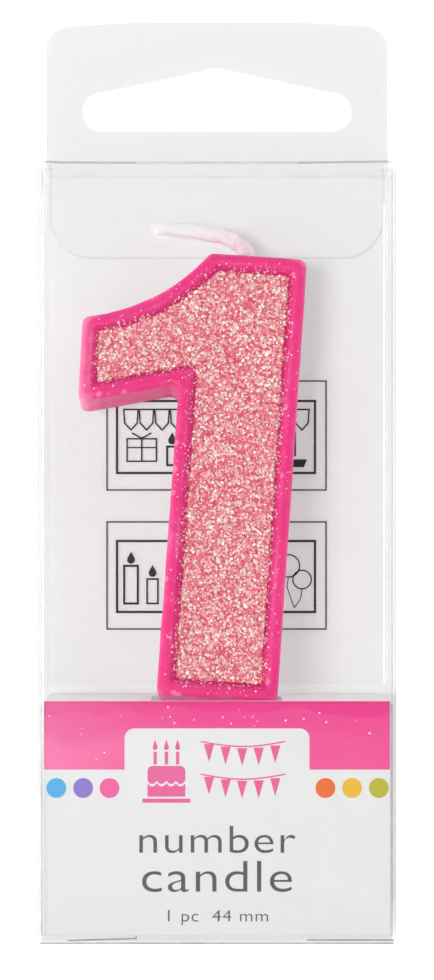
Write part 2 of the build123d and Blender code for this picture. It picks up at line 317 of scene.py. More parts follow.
def card_material():
    """Smooth white board with the faintest mottle; faces that point up carry painted light from above, as
    a faint glow.
    """
    material, tree = blank_material("white_board")
    mottle = maths(tree, "MULTIPLY_ADD", noise_of(tree, 700.0, 4.0, 0.65), 0.05, -0.025)
    pale = maths(tree, "ADD", mottle, 0.845)
    less = maths(tree, "MULTIPLY", pale, 0.995)
    colour = add_node(tree, "ShaderNodeCombineColor", {0: pale, 1: less, 2: less})
    fibres = bump_of(tree, noise_of(tree, 2600.0, 4.0, 0.7), 0.25, 0.00004)
    # Faces that point up glow a little: painted light from above.
    normal = add_node(tree, "ShaderNodeNewGeometry").outputs["Normal"]
    painted_top_light = clamped(tree, axis_of(tree, normal, "Z"))
    board = add_node(tree, "ShaderNodeBsdfPrincipled",
                     {"Base Color": colour.outputs[0], "Roughness": 0.6, "Specular IOR Level": 0.35,
                      "Emission Color": colour.outputs[0],
                      "Emission Strength": maths(tree, "MULTIPLY", painted_top_light, 0.13), "Normal": fibres})
    return with_surface(material, board)


def ink_material(name, colour, light=None, patchy=0.10):
    """Printed ink: a flat tone with fine halftone grain; it can fade to a lighter tone on the left."""
    material, tree = blank_material(name)
    grain = add_node(tree, "ShaderNodeTexVoronoi", {"Vector": place(tree), "Scale": 4200.0})
    dots = maths(tree, "MULTIPLY_ADD", grain.outputs["Distance"], patchy, 1.0 - patchy / 2)
    tone = colour
    if light:
        across = axis_of(tree, place(tree), "X")
        fade = clamped(tree, maths(tree, "MULTIPLY_ADD", across, -75.0, -0.25))
        tone = mixed(tree, fade, colour, light)
    shaded = add_node(tree, "ShaderNodeMix", data_type="RGBA", blend_type="MULTIPLY")
    shaded.inputs[0].default_value = 1.0
    if isinstance(tone, bpy.types.NodeSocket):
        tree.links.new(tone, shaded.inputs[6])
    else:
        shaded.inputs[6].default_value = (*tone, 1.0)
    tree.links.new(dots, shaded.inputs[7])
    ink = add_node(tree, "ShaderNodeBsdfPrincipled",
                   {"Base Color": shaded.outputs[2], "Roughness": 0.55, "Specular IOR Level": 0.2})
    return with_surface(material, ink)


def pick_material():
    """Moulded white plastic of the cake pick, slightly see-through."""
    material, tree = blank_material("white_plastic")
    cloud = noise_of(tree, 500.0, 2.0)
    colour = mixed(tree, cloud, (0.86, 0.86, 0.85), (0.93, 0.93, 0.93))
    skin = bump_of(tree, noise_of(tree, 1800.0, 3.0), 0.2, 0.00005)
    plastic = add_node(tree, "ShaderNodeBsdfPrincipled",
                       {"Base Color": colour, "Roughness": 0.33, "Normal": skin,
                        "Subsurface Weight": 0.3, "Subsurface Radius": (1.0, 1.0, 1.0),
                        "Subsurface Scale": 0.0006})
    return with_surface(material, plastic)


def glue_material():
    """Dried clear glue, with bubbles that make it slightly milky."""
    material, tree = blank_material("clear_glue")
    bubbles = noise_of(tree, 2500.0, 3.0, 0.6)
    cloudy = clamped(tree, maths(tree, "MULTIPLY_ADD", bubbles, 0.05, -0.015))
    clear = add_node(tree, "ShaderNodeBsdfTransparent", {"Color": (0.998, 0.998, 0.997, 1)})
    milky = add_node(tree, "ShaderNodeBsdfPrincipled",
                     {"Base Color": (0.9, 0.9, 0.88, 1), "Roughness": 0.4})
    both = mix_shaders(tree, cloudy, clear, milky)
    return with_surface(material, both)


# ---- Mesh helpers ------------------------------------------------------------------------
def add_object(name, data):
    """A new object in the scene."""
    made = bpy.data.objects.new(name, data)
    bpy.context.scene.collection.objects.link(made)
    return made


def new_piece(name, mesh, material, body, smooth=False):
    """A mesh object with one material, riding on a CAD body."""
    piece = add_object(name, mesh)
    mesh.materials.clear()
    mesh.materials.append(material)
    if smooth:
        mesh.polygons.foreach_set("use_smooth", [True] * len(mesh.polygons))
    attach(piece, body)
    return piece


def remeshed(source, voxel, rounds):
    """The shape of a closed mesh as an even, smoothed one; what overlaps is joined."""
    copy = add_object("remesh_source", source.copy())
    grid = copy.modifiers.new("even", "REMESH")
    grid.mode = "VOXEL"
    grid.voxel_size = voxel
    if rounds:
        soft = copy.modifiers.new("soft", "SMOOTH")
        soft.factor = 0.5
        soft.iterations = rounds
    graph = bpy.context.evaluated_depsgraph_get()
    mesh = bpy.data.meshes.new_from_object(copy.evaluated_get(graph))
    bpy.data.objects.remove(copy)
    return mesh


def displaced(mesh, height):
    """Moves each vertex along its normal by height(point in mm), in mm."""
    normals = [vertex.normal.copy() for vertex in mesh.vertices]
    places = []
    for vertex, normal in zip(mesh.vertices, normals):
        places.extend(vertex.co + normal * (height(vertex.co / MM) * MM))
    mesh.vertices.foreach_set("co", places)
    mesh.update()


def mesh_from(bm, name):
    """Turns a bmesh of closed shapes into a mesh with its normals outwards."""
    bmesh.ops.recalc_face_normals(bm, faces=bm.faces)
    mesh = bpy.data.meshes.new(name)
    bm.to_mesh(mesh)
    bm.free()
    return mesh


def add_plate(bm, outline, front, back):
    """A thin closed plate: an outline of (x, z) in mm, standing between two y values in mm."""
    near = [bm.verts.new((x * MM, front * MM, z * MM)) for x, z in outline]
    far = [bm.verts.new((x * MM, back * MM, z * MM)) for x, z in outline]
    bm.faces.new(near)
    bm.faces.new(reversed(far))
    count = len(outline)
    for i in range(count):
        j = (i + 1) % count
        bm.faces.new((near[j], near[i], far[i], far[j]))


def arc(centre, radius, start, end, steps=8):
    """Points along a circular arc; angles in degrees, anticlockwise from +x."""
    points = []
    for i in range(steps + 1):
        angle = math.radians(start + (end - start) * i / steps)
        points.append((centre[0] + radius * math.cos(angle), centre[1] + radius * math.sin(angle)))
    return points


def block(left, right, low, high):
    """Outline of a solid upright rectangle."""
    return [(left, low), (right, low), (right, high), (left, high)]


def bar(start, end, width):
    """Outline of a straight stroke between two points."""
    dx, dz = end[0] - start[0], end[1] - start[1]
    length = math.hypot(dx, dz)
    nx, nz = -dz / length * width / 2, dx / length * width / 2
    return [(start[0] + nx, start[1] + nz), (start[0] - nx, start[1] - nz),
            (end[0] - nx, end[1] - nz), (end[0] + nx, end[1] + nz)]


def add_line(bm, points, width, front, back):
    """A drawn line through several points, as one closed strip with mitred joints."""
    normals = []
    for (x0, z0), (x1, z1) in zip(points, points[1:]):
        normals.append(Vector((z0 - z1, x1 - x0)).normalized())
    sharpest = 0.4                 # bends whose cosine is under this get a blunter mitre
    rings = []
    for i, (x, z) in enumerate(points):
        before, after = normals[max(i - 1, 0)], normals[min(i, len(normals) - 1)]
        mitre = (before + after).normalized()
        side = mitre * (width / 2 / max(sharpest, mitre.dot(before)))
        corners = ((x + side.x, front, z + side.y), (x - side.x, front, z - side.y),
                   (x - side.x, back, z - side.y), (x + side.x, back, z + side.y))
        rings.append([bm.verts.new(Vector(corner) * MM) for corner in corners])
    for low, high in zip(rings, rings[1:]):
        for k in range(4):
            j = (k + 1) % 4
            bm.faces.new((low[k], low[j], high[j], high[k]))
    bm.faces.new(reversed(rings[0]))
    bm.faces.new(rings[-1])


def add_frame(bm, left, right, low, high, width, front, back):
    """A drawn rectangle with square corners, made as four strokes that meet end to end."""
    half = width / 2
    add_plate(bm, bar((left - half, high), (right + half, high), width), front, back)
    add_plate(bm, bar((left - half, low), (right + half, low), width), front, back)
    add_plate(bm, bar((left, low + half), (left, high - half), width), front, back)
    add_plate(bm, bar((right, low + half), (right, high - half), width), front, back)


# ---- The candle --------------------------------------------------------------------------
def make_wax_figure():
    """The wax, with the soft edges and slight waves of a cast candle."""
    mesh = remeshed(NODES["candle_body"].data, 0.18 * MM, 2)
    displaced(mesh, lambda point: noise.noise(point * 0.35) * 0.035 + noise.noise(point * 1.7) * 0.012)
    wax = new_piece("wax_figure", mesh, wax_material(), "candle", smooth=True)
    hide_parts("candle_body")
    return wax


def make_glitter_bed():
    """The varnish bed that holds the glitter, with a lumpy surface."""
    mesh = remeshed(NODES["glitter_coat"].data, 0.14 * MM, 1)
    displaced(mesh, lambda point: noise.noise(point * 2.2) * 0.05 + noise.noise(point * 6.0) * 0.04)
    bed = new_piece("glitter_bed", mesh, glitter_bed_material(), "candle", smooth=True)
    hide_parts("glitter_coat")
    return bed


def add_flake(verts, faces, where, normal, chance, radius, tilt):
    """One hexagonal flake as a closed prism, tipped by up to tilt degrees about each of two axes."""
    thickness = 0.016 * MM
    turn = Matrix.Rotation(math.radians(chance.uniform(-tilt, tilt)), 3, "X")
    turn = turn @ Matrix.Rotation(math.radians(chance.uniform(-tilt, tilt)), 3, "Y")
    turn = turn @ Matrix.Rotation(chance.uniform(0, math.tau), 3, "Z")
    turn = normal.to_track_quat("Z", "Y").to_matrix() @ turn
    first = len(verts)
    stretch = chance.uniform(0.5, 1.0)
    for height in (-thickness / 2, thickness / 2):
        for i in range(6):
            angle = math.tau * i / 6
            corner = Vector((radius * math.cos(angle), radius * stretch * math.sin(angle), height))
            verts.append(where + turn @ corner)
    faces.append([first + i for i in (5, 4, 3, 2, 1, 0)])
    faces.append([first + 6 + i for i in range(6)])
    for i in range(6):
        j = (i + 1) % 6
        faces.append([first + i, first + j, first + 6 + j, first + 6 + i])


def front_triangles(obj, outwards):
    """Triangles of a mesh that face outwards, each with its corners and area."""
    squarely = 0.75
    obj.data.calc_loop_triangles()
    found = []
    for triangle in obj.data.loop_triangles:
        if triangle.normal.dot(outwards) > squarely:
            corners = [obj.data.vertices[i].co.copy() for i in triangle.vertices]
            found.append((corners, triangle.area))
    return found


def scattered(triangles, count, chance):
    """Evenly spread random points over the triangles."""
    weights = [area for corners, area in triangles]
    for corners, area in chance.choices(triangles, weights=weights, k=count):
        a, b = sorted((chance.random(), chance.random()))
        yield corners[0] * a + corners[1] * (b - a) + corners[2] * (1 - b)


def make_flakes(wax, bed):
    """The glitter itself: flakes strewn over the bed, spilt on the recess's sides, strays on the rim."""
    chance = random.Random(11)
    out = (SEAT.to_3x3() @ Vector((0, 0, 1))).normalized()
    triangles = front_triangles(bed, out)
    on_bed, steepest, clear_of_bed = 7300, 0.2, 0.04
    verts, faces = [], []
    for point in scattered(triangles, on_bed, chance):
        lift = chance.uniform(-0.02, 0.12) * MM
        add_flake(verts, faces, point + out * lift, out, chance, chance.uniform(0.08, 0.19) * MM, 24)
    tree = BVHTree.FromPolygons([v.co for v in wax.data.vertices],
                                [p.vertices[:] for p in wax.data.polygons])
    across = SEAT.to_3x3() @ Vector((1, 0, 0))
    up = SEAT.to_3x3() @ Vector((0, 1, 0))
    for spread, tries, largest in ((0.42, 22000, 0.13), (2.2, 1500, 0.085)):
        for point in scattered(triangles, tries, chance):
            shift = across * chance.gauss(0, spread * MM) + up * chance.gauss(0, spread * MM)
            hit, normal, index, distance = tree.ray_cast(point + shift + out * 3 * MM, -out)
            if hit is None or normal.dot(out) < steepest:
                continue
            depth = (SEAT.translation - hit).dot(out)
            if depth < (RECESS_DEPTH - clear_of_bed) * MM:
                size = chance.uniform(0.05, largest) * MM
                add_flake(verts, faces, hit + normal * 0.02 * MM, normal, chance, size, 22)
    mesh = bpy.data.meshes.new("glitter_flakes")
    mesh.from_pydata(verts, [], faces)
    # The pale cream and white steps are partly the glitter's own pale flakes and partly painted glints.
    colours = [(0.0, (0.96, 0.150, 0.240)), (0.13, (0.98, 0.280, 0.350)), (0.34, (1.0, 0.460, 0.510)),
               (0.54, (1.0, 0.640, 0.640)), (0.68, (1.0, 0.86, 0.76)), (0.84, (1.0, 0.96, 0.90)),
               (0.93, (1.0, 0.95, 0.55))]
    new_piece("glitter_flakes", mesh, flake_material("flake_mix", colours), "candle")


def bezier_points(points, steps):
    """A smooth curve through the points (Catmull-Rom), as many points."""
    line = []
    padded = [points[0] * 2 - points[1]] + points + [points[-1] * 2 - points[-2]]
    for i in range(len(points) - 1):
        p0, p1, p2, p3 = padded[i:i + 4]
        for k in range(steps):
            t = k / steps
            line.append(0.5 * ((2 * p1) + (p2 - p0) * t + (2 * p0 - 5 * p1 + 4 * p2 - p3) * t * t
                               + (3 * p1 - p0 - 3 * p2 + p3) * t * t * t))
    line.append(points[-1].copy())
    return line


def add_strand(bm, line, offset, radius, sides=10):
    """A closed tube along a line; offset gives each station's shift and its radius share."""
    rings = []
    for i, centre in enumerate(line):
        along = (line[min(i + 1, len(line) - 1)] - line[max(i - 1, 0)]).normalized()
        side = along.cross(SEAT.to_3x3() @ Vector((0, 0, 1))).normalized()
        other = along.cross(side)
        shift, share = offset(i, side, other)
        ring = []
        for k in range(sides):
            angle = math.tau * k / sides
            spoke = side * math.cos(angle) + other * math.sin(angle)
            ring.append(bm.verts.new(centre + shift + spoke * radius * share))
        rings.append(ring)
    for low, high in zip(rings, rings[1:]):
        for k in range(sides):
            j = (k + 1) % sides
            bm.faces.new((low[k], low[j], high[j], high[k]))
    bm.faces.new(reversed(rings[0]))
    bm.faces.new(rings[-1])


def make_wick():
    """Three twisted strands soaked in wax, worn thin and frayed at the tip."""
    centre = [SEAT @ Vector((x * MM, y * MM, -FIGURE_THICKNESS / 2 * MM)) for x, y in WICK_LINE]
    line = bezier_points(centre, 10)
    bm = bmesh.new()
    for strand in range(3):
        phase = math.tau * strand / 3 + 0.5
        own = line[:len(line) - 2 * strand]

        def offset(i, side, other, phase=phase, last=len(own) - 1):
            angle = phase + i * 0.075
            spread = 0.30 * MM * (1 - 0.3 * i / last)
            wander = noise.noise(Vector((i * 0.11, phase, 0.0))) * 0.08 * MM
            share = 1.0 - 0.18 * (i / last) ** 2 - 0.22 * max(0.0, i / last - 0.85) / 0.15
            share += 0.10 * noise.noise(Vector((phase, i * 0.3, 4.0)))
            return side * math.cos(angle) * spread + other * (math.sin(angle) * spread + wander), share

        add_strand(bm, own, offset, 0.60 * MM, sides=14)
    mesh = remeshed(mesh_from(bm, "wick_strands"), 0.08 * MM, 2)
    displaced(mesh, lambda point: noise.noise(point * 3.0) * 0.04)
    wick = new_piece("wick_cord", mesh, cord_material(), "candle", smooth=True)
    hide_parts("wick")


def make_stray_specks():
    """Loose glitter: a few flakes that stick to the inside of the box and to the card."""
    chance = random.Random(5)
    verts, faces = [], []
    film, off_film = 0.3, 0.04
    inner_y = BOX_LOW.y + (film + off_film) * MM
    card_side = CARD_HIGH.x - 0.5 * MM
    window_side, window_back = 6.6 * MM, 1.9 * MM
    front, upwards = Vector((0, -1, 0)), Vector((0, 0, 1))
    for _ in range(46):
        x = chance.gauss(0, 9.0) * MM
        z = chance.triangular(24.0, 74.0, 34.0) * MM
        if abs(x) < BOX_HIGH.x - 1.5 * MM:
            point = Vector((x, inner_y, z))
            add_flake(verts, faces, point, front, chance, chance.uniform(0.035, 0.07) * MM, 4)
    for _ in range(34):
        x = chance.gauss(1.0, 8.0) * MM
        z = CARD_HIGH.z - abs(chance.gauss(0.6, 2.6)) * MM - 0.5 * MM
        if abs(x) < card_side:
            point = Vector((x, CARD_LOW.y - 0.06 * MM, z))
            add_flake(verts, faces, point, front, chance, chance.uniform(0.06, 0.13) * MM, 10)
    for _ in range(60):
        x = chance.gauss(0.0, 7.0) * MM
        y = chance.uniform(CARD_LOW.y / MM + 0.6, 6.5) * MM
        inside_window = abs(x) < window_side and y < window_back
        if abs(x) < card_side and not inside_window:
            point = Vector((x, y, CARD_HIGH.z + 0.03 * MM))
            add_flake(verts, faces, point, upwards, chance, chance.uniform(0.06, 0.13) * MM, 12)
    mesh = bpy.data.meshes.new("stray_glitter")
    mesh.from_pydata(verts, [], faces)
    colours = [(0.0, (1.0, 0.95, 0.93)), (0.4, (0.98, 0.75, 0.80)), (0.75, (0.95, 0.55, 0.66))]
    new_piece("stray_glitter", mesh, flake_material("stray_flakes", colours), "box")


# ---- The print on the card -------------------------------------------------------------
INK = 0.02                     # how far ink stands proud, in mm


def card_face():
    """Front and back y of ink on the card's front face, in mm."""
    front = CARD_LOW.y / MM
    return front - INK, front - INK / 4


def add_print(name, bm, ink):
    """A printed piece on the box's body, from a bmesh of closed shapes."""
    new_piece(name, mesh_from(bm, name), ink, "box")


def make_pink_band():
    """The pink band along the card's top, wrapped over its fold, with a notch for the emblem."""
    near, far = card_face()
    margin = 0.02
    left, right = CARD_LOW.x / MM + margin, CARD_HIGH.x / MM - margin
    foot, top = 17.0, CARD_HIGH.z / MM
    notch, notch_top, corner = 9.06, 21.03, 0.98
    fold = 0.35
    outline = [(left, foot), (-notch, foot)]
    outline += arc((-notch + corner, notch_top - corner), corner, 180, 90)
    outline += arc((notch - corner, notch_top - corner), corner, 90, 0)
    outline += [(notch, foot), (right, foot), (right, top - fold), (left, top - fold)]
    bm = bmesh.new()
    add_plate(bm, outline, near, far)
    centre_y, centre_z = CARD_LOW.y / MM + fold, top - fold
    profile = []
    for radius, order in ((fold + INK, 1), (fold + INK / 4, -1)):
        profile += arc((centre_y, centre_z), radius, 180, 90, 6)[::order]
    ends = [[bm.verts.new((x * MM, y * MM, z * MM)) for y, z in profile] for x in (left, right)]
    bm.faces.new(ends[0])
    bm.faces.new(reversed(ends[1]))
    for i in range(len(profile)):
        j = (i + 1) % len(profile)
        bm.faces.new((ends[0][j], ends[0][i], ends[1][i], ends[1][j]))
    ink = ink_material("pink_ink", (0.93, 0.058, 0.300), light=(0.95, 0.150, 0.400))
    add_print("card_band", bm, ink)


def make_dots():
    """Three coloured dots on each side of the emblem, one piece to each colour."""
    near, far = card_face()
    height, radius, corners = 15.19, 0.97, 48
    dots = [("blue", -15.72, (0.055, 0.42, 0.80)), ("purple", -13.10, (0.25, 0.17, 0.62)),
            ("rose", -10.52, (0.93, 0.095, 0.36)), ("orange", 10.61, (0.88, 0.135, 0.003)),
            ("yellow", 13.22, (0.86, 0.50, 0.0)), ("green", 15.84, (0.50, 0.47, 0.0))]
    for name, x, colour in dots:
        bm = bmesh.new()
        add_plate(bm, arc((x, height), radius, 0, 360 - 360 / corners, corners - 1), near, far)
        ink = ink_material(name + "_ink", colour)
        add_print("card_dot_" + name, bm, ink)


def add_cake(bm, near, far):
    """A cake on its board, with scalloped icing and three candles."""
    left, right = -6.8, -3.1
    overhang, scallops, pitch = 0.5, 4, 0.93
    add_plate(bm, block(left - overhang, right + overhang, 13.75, 14.15), near, far)
    tier = [(left, 14.35), (right, 14.35), (right, 15.6)]
    for i in range(scallops):
        tier += arc((right - 0.46 - pitch * i, 15.75), 0.42, -20, -160, 5)
    tier += [(left, 15.6)]
    add_plate(bm, tier, near, far)
    icing_low, icing_high, corner = 16.0, 16.85, 0.5
    icing = [(left, icing_low)]
    for i in range(scallops):
        icing += arc((left + 0.44 + pitch * i, 15.98), 0.40, 200, 340, 5)
    icing += [(right, icing_low)]
    icing += arc((right - corner, icing_high), corner, 0, 90, 5)
    icing += arc((left + corner, icing_high), corner, 90, 180, 5)
    add_plate(bm, icing, near, far)
    half = 0.16
    for i in range(3):
        x = -6.05 + 1.1 * i
        add_plate(bm, block(x - half, x + half, 17.5, 18.75), near, far)
        add_plate(bm, [(x, 19.95)] + arc((x, 19.15), 0.24, 160, 380, 10), near, far)


def add_bunting(bm, height, near, far):
    """A sagging cord with five pennants."""
    left, span, dip, pieces = -1.6, 8.3, 0.5, 12
    sag = []
    for i in range(pieces + 1):
        share = i / pieces
        sag.append((left + span * share, height - dip * math.sin(math.pi * share)))
    add_line(bm, sag, 0.14, near, far)
    for i in range(5):
        x = left + 0.52 + 1.62 * i
        drop = height - dip * math.sin(math.pi * (x - left) / span) - 0.16
        add_plate(bm, [(x - 0.2, drop), (x + 0.8, drop), (x + 0.3, drop - 1.75)], near, far)


def make_emblem():
    """A plain party emblem: an iced cake with candles, and two rows of pennants beside it."""
    near, far = card_face()
    bm = bmesh.new()
    add_cake(bm, near, far)
    for height in (19.75, 16.55):
        add_bunting(bm, height, near, far)
    ink = ink_material("rose_print", (0.84, 0.095, 0.33))
    add_print("card_emblem", bm, ink)


def make_words(name, words, left, right, baseline, high, weight, material):
    """One line of plain lettering, fitted between left and right, standing on its baseline."""
    near, far = card_face()
    curve = bpy.data.curves.new(name, "FONT")
    curve.body = words
    curve.resolution_u = 6
    curve.extrude = 1.0
    curve.offset = weight
    curve.space_character = 1.06
    text = add_object(name + "_curve", curve)
    graph = bpy.context.evaluated_depsgraph_get()
    mesh = bpy.data.meshes.new_from_object(text.evaluated_get(graph))
    bpy.data.objects.remove(text)
    low_x = min(v.co.x for v in mesh.vertices)
    high_x = max(v.co.x for v in mesh.vertices)
    top = max(v.co.y for v in mesh.vertices)
    wide = (right - left) / (high_x - low_x)
    tall = (high - baseline) / top
    for vertex in mesh.vertices:
        x, y, z = vertex.co
        depth = near if z > 0 else far
        vertex.co = Vector((left + (x - low_x) * wide, depth, baseline + y * tall)) * MM
    bm = bmesh.new()
    bm.from_mesh(mesh)
    weld = 0.001 * MM
    bmesh.ops.remove_doubles(bm, verts=bm.verts, dist=weld)
    add_print(name, bm, material)


def make_card_words():
    """Generic wording: what it is, how many and how tall."""
    thinner = -0.008
    grey = ink_material("grey_ink", (0.085, 0.075, 0.075), patchy=0.2)
    make_words("card_words_top", "number", -7.6, 7.7, 8.83, 11.48, thinner, grey)
    make_words("card_words_middle", "candle", -7.34, 7.34, 5.02, 8.05, thinner, grey)
    make_words("card_words_small", "1 pc  44 mm", -4.8, 5.0, 2.12, 3.25, thinner, grey)


# ---- The print on the back panel -------------------------------------------------------
def panel_face():
    """Front and back y of ink on the outside of the back panel, in mm."""
    back = PANEL_HIGH.y / MM
    return back + INK / 4, back + INK


def add_candle_icon(bm, x, foot, width, height, near, far, line=0.22):
    """An outlined candle with a solid flame."""
    add_frame(bm, x - width / 2, x + width / 2, foot, foot + height, line, near, far)
    flame = [(x, foot + height + 1.45)] + arc((x, foot + height + 0.62), 0.40, 150, 390, 12)
    add_plate(bm, flame, near, far)


def make_back_print():
    """Two framed drawings on the back panel: bunting over a gift and candles; candles and balloons."""
    near, far = panel_face()
    bm = bmesh.new()
    for left, right, low, high, width in ((-11.25, 11.15, 44.36, 55.51, 0.15),
                                          (-10.23, 10.02, 46.10, 53.46, 0.24),
                                          (-11.25, 11.15, 30.14, 41.09, 0.15),
                                          (-10.23, 10.02, 31.88, 39.14, 0.24)):
        add_frame(bm, left, right, low, high, width, near, far)
    add_line(bm, [(-9.6, 52.6), (9.5, 52.6)], 0.17, near, far)
    for i in range(12):
        x = -9.55 + 1.59 * i
        flag = [(x, 52.55), (x + 0.10, 51.2), (x + 0.75, 50.5), (x + 1.38, 51.2), (x + 1.48, 52.55)]
        add_line(bm, flag, 0.16, near, far)
    add_frame(bm, -9.2, -6.2, 47.3, 49.6, 0.16, near, far)
    add_line(bm, [(-9.2, 48.7), (-6.2, 48.7)], 0.14, near, far)
    add_line(bm, [(-7.7, 47.3), (-7.7, 49.6)], 0.16, near, far)
    add_line(bm, [(-8.7, 50.2), (-7.7, 49.65), (-6.7, 50.2)], 0.16, near, far)
    add_candle_icon(bm, -4.6, 46.9, 1.0, 1.9, near, far)
    add_candle_icon(bm, 7.6, 47.9, 0.8, 2.3, near, far, 0.18)
    add_plate(bm, [(6.5, 46.7), (8.9, 46.7), (9.2, 47.5), (6.2, 47.5)], near, far)
    add_candle_icon(bm, -8.8, 32.75, 1.4, 3.85, near, far)
    add_candle_icon(bm, -6.6, 32.75, 1.1, 2.5, near, far, 0.18)
    for x, z, size in ((7.3, 36.6, 1.15), (8.7, 35.2, 0.95)):
        ring = arc((x, z), size, 0, 345, 23)
        add_line(bm, ring + ring[:1], 0.14, near, far)
        add_line(bm, [(x, z - size), (x - 0.15, z - size - 1.0), (7.9, 32.3)], 0.10, near, far)
    ink = ink_material("dark_line_ink", (0.045, 0.035, 0.045), patchy=0.15)
    add_print("panel_print", bm, ink)


# ---- Finishes for the CAD's own pieces ---------------------------------------------------
FILM, EDGE, FOLD, FLANK = range(4)     # a film piece's material slots
MOSTLY, SQUARELY = 0.9, 0.999          # how closely a face's normal follows an axis


def sleeve_slot(normal):
    """The sleeve's material slot for a face: cut rim, front or back, side, or rounded fold."""
    if normal[2] > MOSTLY:
        return EDGE
    if normal[1] > SQUARELY:
        return FILM
    if normal[0] > SQUARELY:
        return FLANK
    return FOLD


def finish_film(name, film, edge, fold=None, flank=None):
    """Film on broad faces, edge on the sheet's thin ones; the sleeve also has folds and flanks."""
    mesh = NODES[name].data
    mesh.materials.clear()
    for material in (film, edge, fold, flank):
        if material:
            mesh.materials.append(material)
    low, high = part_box(name)
    size = high - low
    thin = min(range(3), key=lambda axis: size[axis])
    for polygon in mesh.polygons:
        normal = [abs(value) for value in polygon.normal]
        if name == "box_sleeve":
            polygon.material_index = sleeve_slot(normal)
        else:
            polygon.material_index = FILM if normal[thin] > MOSTLY else EDGE


def finish_nodes():
    """Materials for the CAD's own meshes: the film pieces, the card, the pick and the glue."""
    film = film_material("clear_film", 0.968, 0.988, grain=0.008)
    # The flank, fold and foot copies of the film are darker than its faces: painted shade on the box's
    # sides, folds and foot.
    flank = film_material("film_flank_painted_shade", 0.962, 0.962, grain=0.02, glancing=0.25)
    fold = film_material("film_fold", 0.972, 0.972, shine=0.04, grain=0.02, glancing=0.12, flattest=0.14)
    inner = film_material("clear_film_flaps", 0.997, 0.997, shine=0.008, glancing=0.04)
    lid = film_material("clear_film_lid", 0.990, 0.990, shine=0.02, glancing=0.12, grain=0.004)
    foot = film_material("film_foot_painted_shade", 0.93, 0.93, shine=0.01, glancing=0.04,
                         tone=(0.985, 0.98, 1.0))
    edge = film_edge_material("film_edge", 0.95)
    faint = film_edge_material("film_edge_faint", 0.975, streaky=0.05)
    finish_film("box_sleeve", film, edge, fold, flank)
    for name, sheet, rim in (("hanger_panel", film, faint), ("top_lid", lid, edge),
                             ("top_tuck_flap", inner, faint), ("top_dust_flap_left", inner, faint),
                             ("top_dust_flap_right", inner, faint), ("bottom_lid", foot, edge),
                             ("bottom_tuck_flap", inner, faint), ("bottom_dust_flap_left", foot, faint),
                             ("bottom_dust_flap_right", foot, faint)):
        finish_film(name, sheet, rim)
    for name, material in (("card_insert", card_material()), ("cake_pick", pick_material()),
                           ("glue_seam", glue_material())):
        NODES[name].data.materials.clear()
        NODES[name].data.materials.append(material)


def add_crease(name, body, material, runs, width, near, far):
    """Creases as thin strips riding on one body; each run is a list of (x, z) points in mm."""
    bm = bmesh.new()
    for points in runs:
        add_line(bm, points, width, near, far)
    new_piece(name, mesh_from(bm, name), material, body)


def make_creases():
    """Creases along the lids' front folds, darker where they are slit to lock, and the tuck's rim: strips
    of painted shade.
    """
    dark = film_edge_material("film_crease", 0.84, tone=(0.98, 0.98, 1.0), streaky=0.20)
    darkest = film_edge_material("film_crease_foot", 0.68, tone=(0.98, 0.98, 1.0), streaky=0.25)
    soft = film_edge_material("film_crease_soft", 0.93, streaky=0.08)
    rim = film_edge_material("film_rim", 0.978, streaky=0.03)
    front = LID_LOW.y / MM
    near, far = front - 0.08, front - 0.01
    top, foot = BOX_HIGH.z / MM + 0.02, 0.08
    side = LID_HIGH.x / MM
    slit = 7.9
    add_crease("crease_top", "top_lid", dark,
               [[(-side, top + 0.06), (-15.0, top - 0.06), (-slit, top - 0.10)],
                [(slit, top - 0.10), (side, top + 0.06)]], 0.18, near, far)
    middle = slit - 0.1
    add_crease("crease_top_middle", "top_lid", soft, [[(-middle, top - 0.10), (middle, top - 0.10)]],
               0.14, near, far)
    add_crease("crease_bottom", "bottom_lid", darkest,
               [[(-14.6, foot + 0.25), (-slit, foot + 0.46), (-slit, foot + 0.75)],
                [(8.8, foot + 0.30), (side, foot + 0.30)]], 0.16, near, far)
    add_crease("crease_bottom_edge", "bottom_lid", darkest, [[(-side, foot), (side, foot)]],
               0.13, near, far)
    flap_low, flap_high = (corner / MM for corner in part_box("top_tuck_flap"))
    inset, corner = 0.12, 4.0
    left, right, low = flap_low.x + inset, flap_high.x - inset, flap_low.z + inset
    outline = [(left, flap_high.z)] + arc((left + corner, low + corner), corner, 180, 270, 12)
    outline += arc((right - corner, low + corner), corner, 270, 360, 12) + [(right, flap_high.z)]
    add_crease("tuck_rim", "top_tuck", rim, [outline], 0.22, near + 0.04, far)


def make_fold_lines():
    """Fine darker lines along the sleeve's upright front folds, painted shade that is darkest beside the
    card.
    """
    line = film_edge_material("film_fold_line", 0.93, streaky=0.10)
    card_edge_shade = film_edge_material("film_fold_card_shade", 0.88, streaky=0.20)
    skin = BOX_LOW.y / MM
    low, high = BOX_LOW.z / MM + 0.7, BOX_HIGH.z / MM - 0.5
    card_top = CARD_HIGH.z / MM
    add_crease("fold_line_outer", "box", line, [[(x, low), (x, high)] for x in (-17.42, 17.42)],
               0.10, skin + 0.19, skin + 0.21)
    add_crease("fold_line_inner", "box", line, [[(x, card_top), (x, high)] for x in (-17.1, 17.1)],
               0.09, skin - 0.02, skin - 0.005)
    # The broad strips beside the card are painted shade.
    add_crease("fold_line_card", "box", card_edge_shade,
               [[(-17.1, low), (-17.1, card_top - 0.1)], [(17.05, low), (17.05, card_top - 0.1)]],
               0.26, skin - 0.02, skin - 0.005)


